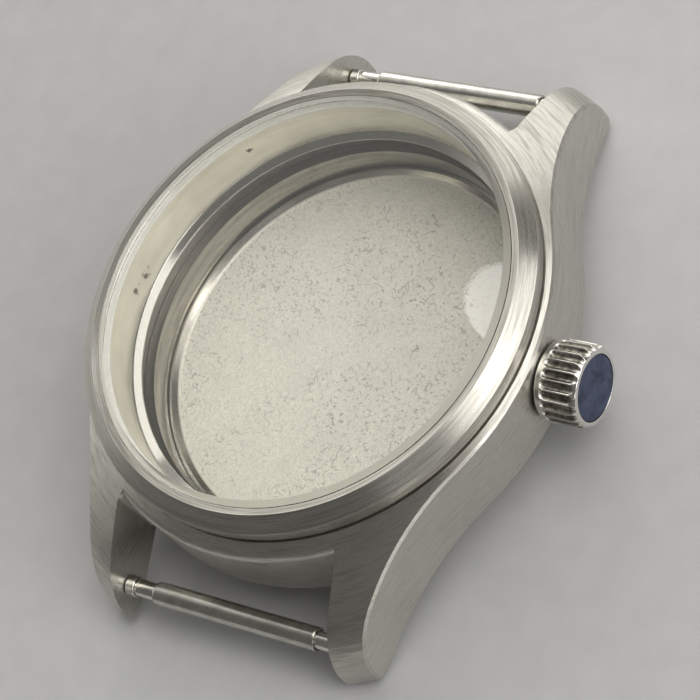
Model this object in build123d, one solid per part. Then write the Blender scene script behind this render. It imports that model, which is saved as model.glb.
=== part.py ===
from build123d import *
import math
import os

# A steel wristwatch case with no movement, dial, hands or strap: a mid-case with
# four curved lugs, a pressed-on bezel with its crystal, a case back, a fluted
# crown on its tube, and two sprung strap bars.
# The origin is the centre of the case back's flat outer face. +X points to the
# crown at 3 o'clock, +Y to 12 o'clock and +Z out through the crystal. Lengths
# are in millimetres.

# Cuts and clearances, the upright share of an edge's run that marks it as upright, and a turn in degrees
cut_overrun = 1.0
seat_gap = 0.02
running_gap = 0.05
upright_share = 0.9
full_turn = 360.0

# Radii, from the movement's bore outwards: rehaut, neck, bezel, crystal, shoulder and case
movement_bore_radius = 16.73
rehaut_inset = 0.2
rehaut_lip_width = 0.65
rehaut_thickness = 0.55
neck_wall = 0.76
bezel_foot_wall = 0.34
bezel_seam_depth = 0.4
bezel_lean = 0.1
crystal_overlap = 0.44
crystal_gasket_wall = 0.26
crystal_gasket_reach = 0.1
bezel_lip_clearance = 0.06
bezel_bevel_width = 0.5
shoulder_width = 0.1
case_round_width = 1.13
flank_inset = 0.65
rehaut_wall_radius = movement_bore_radius - rehaut_inset
rehaut_lip_radius = rehaut_wall_radius - rehaut_lip_width
flange_bore_radius = rehaut_wall_radius + rehaut_thickness + seat_gap
neck_radius = flange_bore_radius + neck_wall
bezel_foot_radius = neck_radius + seat_gap + bezel_foot_wall
bezel_base_radius = bezel_foot_radius + bezel_seam_depth
bezel_ridge_radius = bezel_base_radius + bezel_lean
crystal_radius = rehaut_wall_radius + crystal_overlap
crystal_gasket_foot_radius = rehaut_wall_radius - crystal_gasket_reach
bezel_bore_radius = crystal_radius + crystal_gasket_wall + 2 * seat_gap
bezel_lip_inner_radius = crystal_radius + bezel_lip_clearance
bezel_lip_outer_radius = bezel_lip_inner_radius + bezel_bevel_width
shoulder_radius = bezel_base_radius + shoulder_width
case_circle_radius = shoulder_radius + case_round_width
flank_half_width = case_circle_radius - flank_inset

# Radii of the case back and its gasket's groove, inwards
gasket_groove_width = 0.65
back_flange_overlap = 0.45
back_dome_inset = 0.7
back_slope_width = 1.4
back_collar_wall = 0.78
back_ledge_width = 0.3
back_floor_slope = 0.5
gasket_groove_radius = movement_bore_radius + gasket_groove_width
back_flange_radius = gasket_groove_radius + back_flange_overlap
back_dome_radius = back_flange_radius - back_dome_inset
back_face_radius = back_dome_radius - back_slope_width
back_collar_radius = movement_bore_radius - running_gap
back_wall_radius = back_collar_radius - back_collar_wall
back_floor_radius = back_wall_radius - back_ledge_width - back_floor_slope

# Heights, from the mid-case's underside up
underside_height = 3.4
body_height = 5.98
shoulder_sink = 0.1
neck_length = 0.77
bezel_undercut = 0.28
crystal_gasket_foot = 0.2
crystal_thickness = 1.58
crystal_rise = 0.16
bezel_cone_drop = 0.84
movement_bore_length = 2.68
crown_axis_rise = 2.14
shoulder_height = underside_height + body_height
bezel_seat_height = shoulder_height - shoulder_sink
neck_height = bezel_seat_height + neck_length
bezel_base_height = bezel_seat_height + bezel_undercut
crystal_bottom_height = neck_height + 2 * seat_gap + crystal_gasket_foot
crystal_top_height = crystal_bottom_height + crystal_thickness
bezel_top_height = crystal_top_height - crystal_rise
bezel_ridge_height = bezel_top_height - bezel_cone_drop
dial_shelf_height = underside_height + movement_bore_length
crown_axis_height = underside_height + crown_axis_rise

# Small forms of rehaut, bezel, crystal and groove
rehaut_lip_thickness = 0.14
rehaut_flare_height = 0.25
bezel_lip_dip = 0.06
bezel_lip_thickness = 0.22
bezel_ridge_round = 0.12
crystal_bevel_width = 0.5
crystal_bevel_drop = 0.2
gasket_groove_depth = 0.5

# Case back, in height, and its wrench slots
back_floor_thickness = 1.47
back_ledge_rise = 0.53
back_collar_rise = 0.88
back_relief_depth = 0.12
back_relief_height = 0.2
back_flange_thickness = 0.95
back_dome_edge = 0.45
back_edge_chamfer = 0.15
wrench_slot_count = 6
wrench_slot_width = 2.4
wrench_slot_depth = 0.75
wrench_slot_inset = 0.4
back_ledge_height = back_floor_thickness + back_ledge_rise
back_collar_height = underside_height + back_collar_rise

# Strap bars
lug_spacing = 20.0
bar_wall_gap = 1.72
bar_axis_rise = 2.6
plunger_radius = 0.6
barrel_wall = 0.25
barrel_left_inset = 2.8
barrel_right_inset = 2.3
barrel_crimp = 0.06
barrel_crimp_length = 0.12
pivot_radius = 0.45
pivot_length = 0.75
pivot_end_space = 0.25
flange_overhang = 0.14
lug_face_gap = 0.08
left_flange_length = 0.8
right_flange_length = 0.45
neck_groove_depth = 0.12
neck_groove_length = 0.15
plunger_engagement = 3.4
spring_play = 0.09
spring_wire = 0.16
lug_half_gap = lug_spacing / 2
barrel_bore_radius = plunger_radius + running_gap
barrel_radius = barrel_bore_radius + barrel_wall
barrel_left_end = lug_half_gap - barrel_left_inset
barrel_right_end = lug_half_gap - barrel_right_inset
lug_hole_radius = pivot_radius + running_gap
lug_hole_depth = pivot_length + pivot_end_space
flange_radius = plunger_radius + flange_overhang
neck_groove_radius = plunger_radius - neck_groove_depth
spring_outer_radius = barrel_bore_radius - spring_play
spring_inner_radius = spring_outer_radius - spring_wire
bar_axis_offset = case_circle_radius + bar_wall_gap + barrel_radius

# Lugs and flanks
flank_bow = 1.08
lug_tip_width = 2.0
lug_tip_cover = 4.06
lug_blend_radius = 41.5
lug_root_radius = 0.4
lug_foot_height = 0.3
lug_tip_rise = 1.07
lug_top_radius = 29.3
lug_tip_radius = 6.2
lug_toe_radius = 0.4
lug_foot_inset = 0.95
lug_foot_run = 7.3
lug_foot_start_blend = 2.0
lug_foot_end_blend = 4.0
flank_edge_chamfer = 0.16
wall_crest_radius = 0.8
flank_radius = flank_half_width + flank_bow
lug_outer = lug_half_gap + lug_tip_width
lug_reach = bar_axis_offset + lug_tip_cover
lug_tip_height = lug_foot_height + lug_tip_rise
lug_foot_start = back_flange_radius + lug_foot_inset
lug_foot_end = lug_foot_start + lug_foot_run
bar_axis_height = lug_foot_height + bar_axis_rise

# Crown and its tube
crown_clearance = 0.12
crown_pipe_radius = 0.8
crown_pipe_length = 2.7
pipe_hole_radius = 0.45
tube_wall = 0.4
tube_end_gap = 0.35
tube_mouth_chamfer = 0.12
crown_gasket_section = 0.58
crown_gasket_sides = 8
crown_seal_gap = 0.06
crown_seal_space = 0.04
crown_washer_thickness = 0.2
crown_washer_bore_gap = 0.1
crown_washer_inset = 0.05
crown_collar_wall = 0.95
crown_collar_length = 0.5
crown_shoulder = 0.18
crown_shoulder_chamfer = 0.1
crown_cavity_depth = 2.68
crown_face_wall = 0.4
crown_cone_length = 0.55
crown_cone_drop = 0.3
flute_count = 24
flute_cutter_radius = 0.36
flute_depth = 0.22
inlay_rim = 0.34
inlay_thickness = 0.3
inlay_sink = 0.05
tube_outer_radius = crown_pipe_radius + running_gap + tube_wall
crown_cavity_radius = tube_outer_radius + crown_gasket_section + 2 * crown_seal_gap
crown_collar_radius = crown_cavity_radius + crown_collar_wall
crown_radius = crown_collar_radius + crown_shoulder
crown_face_radius = crown_radius - crown_cone_drop
inlay_radius = crown_face_radius - inlay_rim
crown_start = flank_half_width + crown_clearance
crown_cavity_end = crown_start + crown_cavity_depth
crown_end = crown_cavity_end + crown_face_wall + inlay_thickness + inlay_sink
tube_start = flange_bore_radius + seat_gap
tube_end = crown_cavity_end - tube_end_gap


def arc_about(centre, start, end):
    """The shorter arc from start to end about a centre."""
    radius = math.dist(centre, start)
    lean_x = start[0] + end[0] - 2 * centre[0]
    lean_y = start[1] + end[1] - 2 * centre[1]
    reach = radius / math.hypot(lean_x, lean_y)
    middle = (centre[0] + lean_x * reach, centre[1] + lean_y * reach)
    return ThreePointArc(start, middle, end)


def turned(points):
    """A ring or disc: radius and height points, turned about Z."""
    section = Plane.XZ * make_face(Polyline(*points, close=True))
    return revolve(section, Axis.Z)


def turned_on_x(points):
    """A turned piece on the X axis, from points of place along X and radius."""
    section = Plane.XZ * make_face(Polyline(*points, close=True))
    return revolve(section, Axis.X)


def case_outline():
    """The plan of the mid-case: flank arcs run tangent through a hollow blend into the lugs."""
    far = 2 * lug_reach
    flank_centre = (flank_half_width - flank_radius, 0)
    blend_x = lug_outer + lug_blend_radius
    blend_y = math.sqrt((flank_radius + lug_blend_radius) ** 2 - (blend_x - flank_centre[0]) ** 2)
    share = flank_radius / (flank_radius + lug_blend_radius)
    join = (flank_centre[0] + (blend_x - flank_centre[0]) * share, blend_y * share)
    below = (join[0], -join[1])
    right_side = [
        Line((lug_outer, -far), (lug_outer, -blend_y)),
        arc_about((blend_x, -blend_y), (lug_outer, -blend_y), below),
        arc_about(flank_centre, below, join),
        arc_about((blend_x, blend_y), join, (lug_outer, blend_y)),
        Line((lug_outer, blend_y), (lug_outer, far)),
    ]
    left_side = [mirror(edge, about=Plane.YZ) for edge in right_side]
    ends = [Line((-lug_outer, side * far), (lug_outer, side * far)) for side in (-1, 1)]
    outline = make_face(Curve() + right_side + left_side + ends)
    strap_gaps = Rectangle(lug_spacing, 2 * (far + cut_overrun)) - Circle(case_circle_radius)
    return outline - strap_gaps


def top_form():
    """The turned form that shapes shoulder, lug tops and lug tips in one sweep of two tangent arcs."""
    shoulder = (shoulder_radius, shoulder_height)
    tip = (lug_reach - lug_tip_radius, lug_tip_height)
    span = math.dist(shoulder, tip)
    along = ((tip[0] - shoulder[0]) / span, (tip[1] - shoulder[1]) / span)
    inner = lug_top_radius - lug_tip_radius
    foot = (lug_top_radius ** 2 - inner ** 2 + span ** 2) / (2 * span)
    side = math.sqrt(lug_top_radius ** 2 - foot ** 2)
    top = (shoulder[0] + along[0] * foot + along[1] * side, shoulder[1] + along[1] * foot - along[0] * side)
    share = lug_top_radius / inner
    join = (top[0] + (tip[0] - top[0]) * share, top[1] + (tip[1] - top[1]) * share)
    toe = (lug_reach - lug_toe_radius, lug_foot_height + lug_toe_radius)
    section = [
        Line((0, lug_foot_height), (toe[0], lug_foot_height)),
        arc_about(toe, (toe[0], lug_foot_height), (lug_reach, toe[1])),
        Line((lug_reach, toe[1]), (lug_reach, lug_tip_height)),
        arc_about(tip, (lug_reach, lug_tip_height), join),
        arc_about(top, join, shoulder),
        Line(shoulder, (0, shoulder_height)),
        Line((0, shoulder_height), (0, lug_foot_height)),
    ]
    return revolve(Plane.XZ * make_face(Curve() + section), Axis.Z)


def underside_hollow():
    """What is taken from below: flat under the case, then falling round to the lug feet."""
    low = lug_foot_height - cut_overrun
    far = lug_reach + cut_overrun
    path = FilletPolyline(
        (0, underside_height),
        (lug_foot_start, underside_height),
        (lug_foot_end, lug_foot_height),
        (far, lug_foot_height),
        radius=(lug_foot_start_blend, lug_foot_end_blend),
    )
    closing = Polyline((far, lug_foot_height), (far, low), (0, low), (0, underside_height))
    hollow = revolve(Plane.XZ * make_face(Curve() + [path, closing]), Axis.Z)
    depth = underside_height - low
    between_lugs = Pos(0, 0, low + depth / 2) * Box(lug_spacing, 2 * far, depth)
    return hollow + between_lugs


def mid_case_bore():
    """The stepped bore: gasket groove, movement bore, dial shelf and flange bore."""
    groove_top = underside_height + gasket_groove_depth
    return turned([
        (0, lug_foot_height),
        (gasket_groove_radius, lug_foot_height),
        (gasket_groove_radius, groove_top),
        (movement_bore_radius, groove_top),
        (movement_bore_radius, dial_shelf_height),
        (flange_bore_radius, dial_shelf_height),
        (flange_bore_radius, neck_height + cut_overrun),
        (0, neck_height + cut_overrun),
    ])


def bezel_seat_cut():
    """The flat sunk into the shoulder, on which the bezel's foot stands."""
    top = neck_height + cut_overrun
    return turned([
        (neck_radius, bezel_seat_height),
        (shoulder_radius, bezel_seat_height),
        (shoulder_radius, top),
        (neck_radius, top),
    ])


def lug_holes():
    """Blind holes for the strap bars' pivots, in the lugs' inner faces."""
    span = 2 * (lug_half_gap + lug_hole_depth)
    hole = Rot(0, 90, 0) * Cylinder(lug_hole_radius, span)
    return [Pos(0, side * bar_axis_offset, bar_axis_height) * hole for side in (-1, 1)]


def crown_hole():
    """The hole through the wall at 3 o'clock that takes the crown tube."""
    length = flank_half_width + cut_overrun - movement_bore_radius + cut_overrun
    middle = movement_bore_radius - cut_overrun + length / 2
    return Pos(middle, 0, crown_axis_height) * Rot(0, 90, 0) * Cylinder(tube_outer_radius + seat_gap, length)


def crest_edges(body):
    """The top edges of the round walls between the lugs."""
    found = []
    for edge in body.edges():
        middle = edge @ 0.5
        on_wall = abs(math.hypot(middle.X, middle.Y) - case_circle_radius) < seat_gap
        between_lugs = abs(middle.X) < lug_half_gap
        if on_wall and between_lugs and middle.Z > dial_shelf_height:
            found.append(edge)
    return found


def root_edges(body):
    """The upright corners where the lugs' inner faces meet the round walls."""
    found = []
    for edge in body.edges():
        middle = edge @ 0.5
        upright = abs((edge % 0.5).Z) > upright_share
        on_wall = abs(math.hypot(middle.X, middle.Y) - case_circle_radius) < seat_gap
        on_lug = abs(abs(middle.X) - lug_half_gap) < seat_gap
        if upright and on_wall and on_lug:
            found.append(edge)
    return found


def flank_edges(body):
    """The long edges where the flanks and lug sides meet the turned top."""
    found = []
    for edge in body.edges():
        upright = abs((edge % 0.5).Z) > upright_share
        points = [edge @ 0, edge @ 0.5, edge @ 1]
        outside = all(abs(point.X) > lug_half_gap + seat_gap for point in points)
        off_shoulder = all(math.hypot(point.X, point.Y) > shoulder_radius + seat_gap for point in points)
        middle = points[1]
        on_plan = math.hypot(middle.X, middle.Y) < lug_reach - lug_toe_radius
        above_toe = middle.Z > lug_foot_height + lug_toe_radius
        if outside and off_shoulder and on_plan and above_toe and not upright:
            found.append(edge)
    return found


def make_mid_case():
    """Plan and turned form meet in one solid, which is then hollowed and bored."""
    height = shoulder_height + cut_overrun
    body = extrude(case_outline(), amount=height) & top_form()
    body = fillet(crest_edges(body), wall_crest_radius)
    body = fillet(root_edges(body), lug_root_radius)
    body = chamfer(flank_edges(body), flank_edge_chamfer)
    body = body - underside_hollow()
    length = neck_height - underside_height
    neck = Pos(0, 0, underside_height + length / 2) * Cylinder(neck_radius, length)
    body = body - bezel_seat_cut() + neck
    for cut in [mid_case_bore(), crown_hole(), *lug_holes()]:
        body = body - cut
    return body


def make_bezel():
    """The pressed-on bezel: undercut side, brushed cone, polished bevel and a lip over the crystal."""
    inner_ledge = neck_height + seat_gap
    foot_bore = neck_radius + seat_gap
    lip_top = bezel_top_height - bezel_lip_dip
    lip_bottom = lip_top - bezel_lip_thickness
    return turned([
        (foot_bore, bezel_seat_height),
        (bezel_foot_radius, bezel_seat_height),
        (bezel_foot_radius, bezel_base_height),
        (bezel_base_radius, bezel_base_height),
        (bezel_ridge_radius, bezel_ridge_height - bezel_ridge_round),
        (bezel_ridge_radius - bezel_ridge_round, bezel_ridge_height),
        (bezel_lip_outer_radius, bezel_top_height),
        (bezel_lip_inner_radius, lip_top),
        (bezel_lip_inner_radius, lip_bottom),
        (bezel_bore_radius, lip_bottom),
        (bezel_bore_radius, inner_ledge),
        (foot_bore, inner_ledge),
    ])


def make_crystal():
    """A flat glass with a ground bevel round its top."""
    bevel_start = crystal_radius - crystal_bevel_width
    return turned([
        (0, crystal_bottom_height),
        (crystal_radius, crystal_bottom_height),
        (crystal_radius, crystal_top_height - crystal_bevel_drop),
        (bevel_start, crystal_top_height),
        (0, crystal_top_height),
    ])


def make_crystal_gasket():
    """An L ring: its wall grips the crystal's edge and its foot carries the crystal."""
    wall_inner = crystal_radius + seat_gap
    wall_outer = bezel_bore_radius - seat_gap
    foot_bottom = neck_height + seat_gap
    foot_top = crystal_bottom_height - seat_gap
    wall_top = bezel_top_height - bezel_lip_dip - bezel_lip_thickness - seat_gap
    return turned([
        (crystal_gasket_foot_radius, foot_bottom),
        (wall_outer, foot_bottom),
        (wall_outer, wall_top),
        (wall_inner, wall_top),
        (wall_inner, foot_top),
        (crystal_gasket_foot_radius, foot_top),
    ])


def make_rehaut_ring():
    """The tall wall between dial and crystal, with a thin lip at its foot."""
    outer = flange_bore_radius - seat_gap
    foot = dial_shelf_height
    lip_top = foot + rehaut_lip_thickness
    return turned([
        (rehaut_lip_radius, foot),
        (outer, foot),
        (outer, neck_height),
        (rehaut_wall_radius, neck_height),
        (rehaut_wall_radius, lip_top + rehaut_flare_height),
        (rehaut_lip_radius, lip_top),
    ])


def wrench_slots():
    """Open slots round the case back's rim, for the wrench that unscrews it."""
    reach = back_dome_radius + cut_overrun - back_face_radius - wrench_slot_inset
    middle = back_face_radius + wrench_slot_inset + reach / 2
    slot = Pos(middle, 0, 0) * Box(reach, wrench_slot_width, 2 * wrench_slot_depth)
    return PolarLocations(0, wrench_slot_count) * slot


def make_case_back():
    """A screwed back: flat face, sloping rim with slots, collar, ledge and sunk floor."""
    flange_bottom = underside_height - back_flange_thickness
    ledge_outer = back_wall_radius + back_relief_depth
    relief_top = back_ledge_height + back_relief_height
    body = turned([
        (0, 0),
        (back_face_radius, 0),
        (back_dome_radius, back_dome_edge),
        (back_dome_radius, flange_bottom),
        (back_flange_radius - back_edge_chamfer, flange_bottom),
        (back_flange_radius, flange_bottom + back_edge_chamfer),
        (back_flange_radius, underside_height),
        (back_collar_radius, underside_height),
        (back_collar_radius, back_collar_height),
        (back_wall_radius, back_collar_height),
        (back_wall_radius, relief_top),
        (ledge_outer, relief_top),
        (ledge_outer, back_ledge_height),
        (back_floor_radius + back_floor_slope, back_ledge_height),
        (back_floor_radius, back_floor_thickness),
        (0, back_floor_thickness),
    ])
    return body - wrench_slots()


def make_case_back_gasket():
    """The flat sealing ring in the groove between case back and mid-case."""
    return turned([
        (back_collar_radius + seat_gap, underside_height + seat_gap),
        (gasket_groove_radius - seat_gap, underside_height + seat_gap),
        (gasket_groove_radius - seat_gap, underside_height + gasket_groove_depth - seat_gap),
        (back_collar_radius + seat_gap, underside_height + gasket_groove_depth - seat_gap),
    ])


def on_crown_axis(piece):
    """Moves a piece turned on the X axis up to the crown's axis."""
    return Pos(0, 0, crown_axis_height) * piece


def make_crown_tube():
    """The tube pressed into the wall at 3 o'clock, with a rounded mouth."""
    bore = crown_pipe_radius + running_gap
    return on_crown_axis(turned_on_x([
        (tube_start, bore),
        (tube_start, tube_outer_radius),
        (tube_end - tube_mouth_chamfer, tube_outer_radius),
        (tube_end, tube_outer_radius - tube_mouth_chamfer),
        (tube_end, bore),
    ]))


def crown_flutes():
    """Round-bottomed grooves, evenly spaced, that stop at the collar's shoulder."""
    start = crown_start + crown_collar_length
    length = crown_end - start + cut_overrun
    centre_radius = crown_radius - flute_depth + flute_cutter_radius
    flute = Cylinder(flute_cutter_radius, length, align=(Align.CENTER, Align.CENTER, Align.MIN))
    flute = flute + Sphere(flute_cutter_radius)
    first = Pos(start + flute_cutter_radius, 0, centre_radius) * Rot(0, 90, 0) * flute
    turns = [full_turn * step / flute_count for step in range(flute_count)]
    return [Rot(turn, 0, 0) * first for turn in turns]


def make_crown():
    """A fluted crown: hollow for tube and seals, with its pipe and a recess for the inlay."""
    collar_end = crown_start + crown_collar_length
    pipe_start = crown_cavity_end - crown_pipe_length
    face = crown_end - inlay_thickness - inlay_sink
    shell = turned_on_x([
        (crown_start, crown_cavity_radius),
        (crown_start, crown_collar_radius),
        (collar_end, crown_collar_radius),
        (collar_end, crown_radius - crown_shoulder_chamfer),
        (collar_end + crown_shoulder_chamfer, crown_radius),
        (crown_end - crown_cone_length, crown_radius),
        (crown_end, crown_face_radius),
        (crown_end, inlay_radius + seat_gap),
        (face, inlay_radius + seat_gap),
        (face, 0),
        (crown_cavity_end, 0),
        (crown_cavity_end, pipe_hole_radius),
        (pipe_start, pipe_hole_radius),
        (pipe_start, crown_pipe_radius),
        (crown_cavity_end, crown_pipe_radius),
        (crown_cavity_end, crown_cavity_radius),
    ])
    for flute in crown_flutes():
        shell = shell - flute
    return on_crown_axis(shell)


def make_crown_disc():
    """The smooth inlay in the crown's face, sunk a little below its rim."""
    front = crown_end - inlay_sink
    return on_crown_axis(turned_on_x([
        (front - inlay_thickness, 0),
        (front - inlay_thickness, inlay_radius),
        (front, inlay_radius),
        (front, 0),
    ]))


def make_crown_gasket(order):
    """One of the two seals that run on the tube; order 0 is the outer one. Its round section has few sides."""
    middle_radius = (crown_cavity_radius + tube_outer_radius) / 2
    first = crown_start + crown_washer_inset + crown_washer_thickness + seat_gap + crown_gasket_section / 2
    place = Pos(first + order * (crown_gasket_section + crown_seal_space), middle_radius)
    section = place * RegularPolygon(crown_gasket_section / 2, crown_gasket_sides)
    return on_crown_axis(revolve(Plane.XZ * section, Axis.X))


def make_crown_washer():
    """The thin washer that keeps the seals in the crown."""
    start = crown_start + crown_washer_inset
    end = start + crown_washer_thickness
    inner = tube_outer_radius + crown_washer_bore_gap
    outer = crown_cavity_radius - running_gap
    return on_crown_axis(turned_on_x([(start, inner), (start, outer), (end, outer), (end, inner)]))


def on_bar_axis(piece, side):
    """Moves a piece turned on the X axis to a strap bar: side +1 at 12 o'clock, -1 at 6."""
    return Pos(0, side * bar_axis_offset, bar_axis_height) * piece


def make_barrel(side):
    """The bar's tube, its ends drawn in slightly over the tips."""
    left = -barrel_left_end
    right = barrel_right_end
    return on_bar_axis(turned_on_x([
        (left, barrel_bore_radius),
        (left, barrel_radius - barrel_crimp),
        (left + barrel_crimp_length, barrel_radius),
        (right - barrel_crimp_length, barrel_radius),
        (right, barrel_radius - barrel_crimp),
        (right, barrel_bore_radius),
    ]), side)


def make_tip(side, face_x, flange_length, plunger_end, heading):
    """A bar tip: pivot for the lug's hole, flange, narrow groove and plunger; heading -1 is the left."""
    steps = [
        (lug_half_gap + pivot_length, pivot_radius),
        (face_x, flange_radius),
        (face_x - flange_length, neck_groove_radius),
        (face_x - flange_length - neck_groove_length, plunger_radius),
    ]
    outline = [(steps[0][0], 0)]
    for place, (end, radius) in enumerate(steps):
        outline.append((end, radius))
        next_end = steps[place + 1][0] if place + 1 < len(steps) else plunger_end
        outline.append((next_end, radius))
    outline.append((plunger_end, 0))
    return on_bar_axis(turned_on_x([(heading * x, radius) for x, radius in outline]), side)


def make_left_tip(side):
    """The left tip, drawn far out of the barrel: its neck shows."""
    face_x = lug_half_gap - lug_face_gap
    return make_tip(side, face_x, left_flange_length, barrel_left_end - plunger_engagement, -1)


def make_right_tip(side):
    """The right tip, whose short flange stands next to the barrel's end."""
    face_x = lug_half_gap - lug_face_gap
    return make_tip(side, face_x, right_flange_length, barrel_right_end - plunger_engagement, 1)


def make_bar_spring(side):
    """The hidden coil spring, kept as a plain sleeve between the two plungers."""
    left = plunger_engagement - barrel_left_end + seat_gap
    right = barrel_right_end - plunger_engagement - seat_gap
    inner = spring_inner_radius
    outer = spring_outer_radius
    return on_bar_axis(turned_on_x([(left, inner), (left, outer), (right, outer), (right, inner)]), side)


def make_nodes():
    """Every piece by its node's name."""
    nodes = {
        "mid_case": make_mid_case(),
        "bezel": make_bezel(),
        "crystal": make_crystal(),
        "crystal_gasket": make_crystal_gasket(),
        "rehaut_ring": make_rehaut_ring(),
        "case_back": make_case_back(),
        "case_back_gasket": make_case_back_gasket(),
        "crown_tube": make_crown_tube(),
        "crown": make_crown(),
        "crown_disc": make_crown_disc(),
        "crown_gasket_outer": make_crown_gasket(0),
        "crown_gasket_inner": make_crown_gasket(1),
        "crown_washer": make_crown_washer(),
    }
    for name, side in (("bar_12", 1), ("bar_6", -1)):
        nodes[name + "_barrel"] = make_barrel(side)
        nodes[name + "_left_tip"] = make_left_tip(side)
        nodes[name + "_right_tip"] = make_right_tip(side)
        nodes[name + "_spring"] = make_bar_spring(side)
    return nodes


if __name__ == "__main__":
    os.makedirs("parts", exist_ok=True)
    for node, shape in make_nodes().items():
        export_step(shape, "parts/" + node + ".step")
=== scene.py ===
import bpy
import math
import numpy as np
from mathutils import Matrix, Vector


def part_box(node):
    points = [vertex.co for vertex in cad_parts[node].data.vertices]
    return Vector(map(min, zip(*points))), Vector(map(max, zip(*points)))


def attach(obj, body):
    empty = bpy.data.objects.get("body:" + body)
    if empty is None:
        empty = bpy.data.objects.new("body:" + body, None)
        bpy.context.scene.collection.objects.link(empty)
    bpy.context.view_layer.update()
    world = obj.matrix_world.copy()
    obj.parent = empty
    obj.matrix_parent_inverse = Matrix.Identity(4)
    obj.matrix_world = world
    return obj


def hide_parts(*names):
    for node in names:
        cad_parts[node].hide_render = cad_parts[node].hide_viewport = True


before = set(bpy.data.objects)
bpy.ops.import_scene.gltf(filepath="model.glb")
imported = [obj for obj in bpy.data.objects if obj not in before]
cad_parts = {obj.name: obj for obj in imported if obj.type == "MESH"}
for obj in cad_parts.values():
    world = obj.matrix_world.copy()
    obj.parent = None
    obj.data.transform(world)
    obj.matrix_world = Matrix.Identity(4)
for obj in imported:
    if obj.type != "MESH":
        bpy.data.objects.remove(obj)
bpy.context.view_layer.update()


# %% [markdown]
# A watch case is mostly bare steel, and bare steel is only seen through what it
# reflects. Two things carry such a picture: surfaces whose normals run true, and
# finishes whose scratches run the way that the maker's wheel or belt ran.
# The lesson starts with the sizes that all steps share. They are read from the
# frame and not typed again, so that a change to the solids reaches the picture.

# %% Shared sizes
mm = 0.001
crown_low, crown_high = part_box("crown")
bar_low, bar_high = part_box("bar_12_barrel")
crown_height = (crown_low[2] + crown_high[2]) / 2
bar_offset = (bar_low[1] + bar_high[1]) / 2
bar_height = (bar_low[2] + bar_high[2]) / 2
print("crown height", crown_height, "bar offset", bar_offset, "bar height", bar_height)


# %% [markdown]
# The camera stands where the photographer's stood. Its place and its three
# turns were fitted to the circles of bezel, wall and back and to the straight
# edges of the lugs. The lens is long, so the case is drawn nearly without
# perspective, as product pictures of small things are. A camera set by eye
# would be quicker, but then no edge could be compared with the photo's.

# %% Camera
camera_place_mm = (115.375, -58.601, 169.513)
camera_turns_deg = (28.745, 25.664, 24.847)
lens_mm = 142.37
sensor_mm = 36.0
nearest_seen = 1 * mm


def make_camera():
    """A camera at the fitted place, looking along its own minus Z axis."""
    data = bpy.data.cameras.new("camera")
    data.lens = lens_mm
    data.sensor_width = sensor_mm
    data.clip_start = nearest_seen
    camera = bpy.data.objects.new("camera", data)
    camera.location = [mm * value for value in camera_place_mm]
    camera.rotation_euler = [math.radians(value) for value in camera_turns_deg]
    bpy.context.scene.collection.objects.link(camera)
    bpy.context.scene.camera = camera
    return camera


camera = make_camera()
print("camera distance", camera.location.length)


# %% [markdown]
# The floor is one pale sheet under the case. It catches the shadow that tells
# how high each part stands. A large plane is enough, because the camera looks
# down on it and never sees its edge.

# %% Floor
floor_in_crown_reaches = 60
floor_half_side = floor_in_crown_reaches * crown_high[0]


def link_mesh(name, points, faces, smooth=True):
    """A mesh object from an array of points and a list or array of faces."""
    mesh = bpy.data.meshes.new(name)
    mesh.from_pydata(points.tolist(), [], [list(face) for face in faces])
    mesh.polygons.foreach_set("use_smooth", [smooth] * len(mesh.polygons))
    mesh.update()
    piece = bpy.data.objects.new(name, mesh)
    bpy.context.scene.collection.objects.link(piece)
    return piece


def make_floor():
    """A square sheet at the height of the case back's flat face."""
    half = floor_half_side
    corners = np.array([[-half, -half, 0], [half, -half, 0], [half, half, 0], [-half, half, 0]])
    return link_mesh("floor", corners, [(0, 1, 2, 3)], smooth=False)


floor = make_floor()
print("floor side", 2 * floor_half_side)


# %% [markdown]
# Steel shows its surroundings, so the light is part of the finish. Soft sheets
# of light stand where a room's windows would: a wide one low behind the case, a
# long one overhead, and smaller ones to the right, in front and at the side.
# Between them it stays darker, and those gaps draw the dark bands on the bezel.
# The last lamp is small and round: it is the bright patch in the crystal.
# Point lamps would be simpler, but they give steel sparkle and no bands.

# %% Lights
lamp_distance = 500 * mm
warm_white, plain_white = (1.0, 0.98, 0.94), (1.0, 0.99, 0.975)
round_lamps = ("small",)
# way to the lamp's middle, half angles in degrees, brightness with paper white as 1, colour
lamp_plan = {
    "back": ((-0.36, 0.87, 0.33), (31, 18), 1.3, warm_white),
    "above": ((0.24, 0.33, 0.92), (39, 15), 1.95, warm_white),
    "right": ((0.93, 0.0, 0.37), (18, 14), 3.3, plain_white),
    "near": ((0.72, -0.6, 0.38), (15, 12), 1.5, plain_white),
    "side": ((0.654, 0.377, 0.656), (21, 12), 1.75, warm_white),
    "small": ((-0.4677, 0.3158, 0.8255), (1.1, 1.2), 2.8, plain_white),
}


def make_lamp(name, way, half_angles, brightness, colour):
    """A flat sheet of light, square to the line from the case to its middle.

    Its power is brightness * pi * area, where an ellipse's area is pi / 4 of width * height.
    """
    way = np.array(way)
    way = way / np.linalg.norm(way)
    wide, high = [2 * lamp_distance * math.tan(math.radians(angle)) for angle in half_angles]
    data = bpy.data.lights.new(name, "AREA")
    data.shape = "ELLIPSE" if name in round_lamps else "RECTANGLE"
    data.size, data.size_y = wide, high
    area = wide * high * (math.pi / 4 if name in round_lamps else 1.0)
    data.energy = brightness * math.pi * area
    data.color = colour
    lamp = bpy.data.objects.new(name, data)
    lamp.location = lamp_distance * way
    lamp.rotation_euler = (-lamp.location).to_track_quat("-Z", "Y").to_euler()
    bpy.context.scene.collection.objects.link(lamp)
    return lamp


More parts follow.
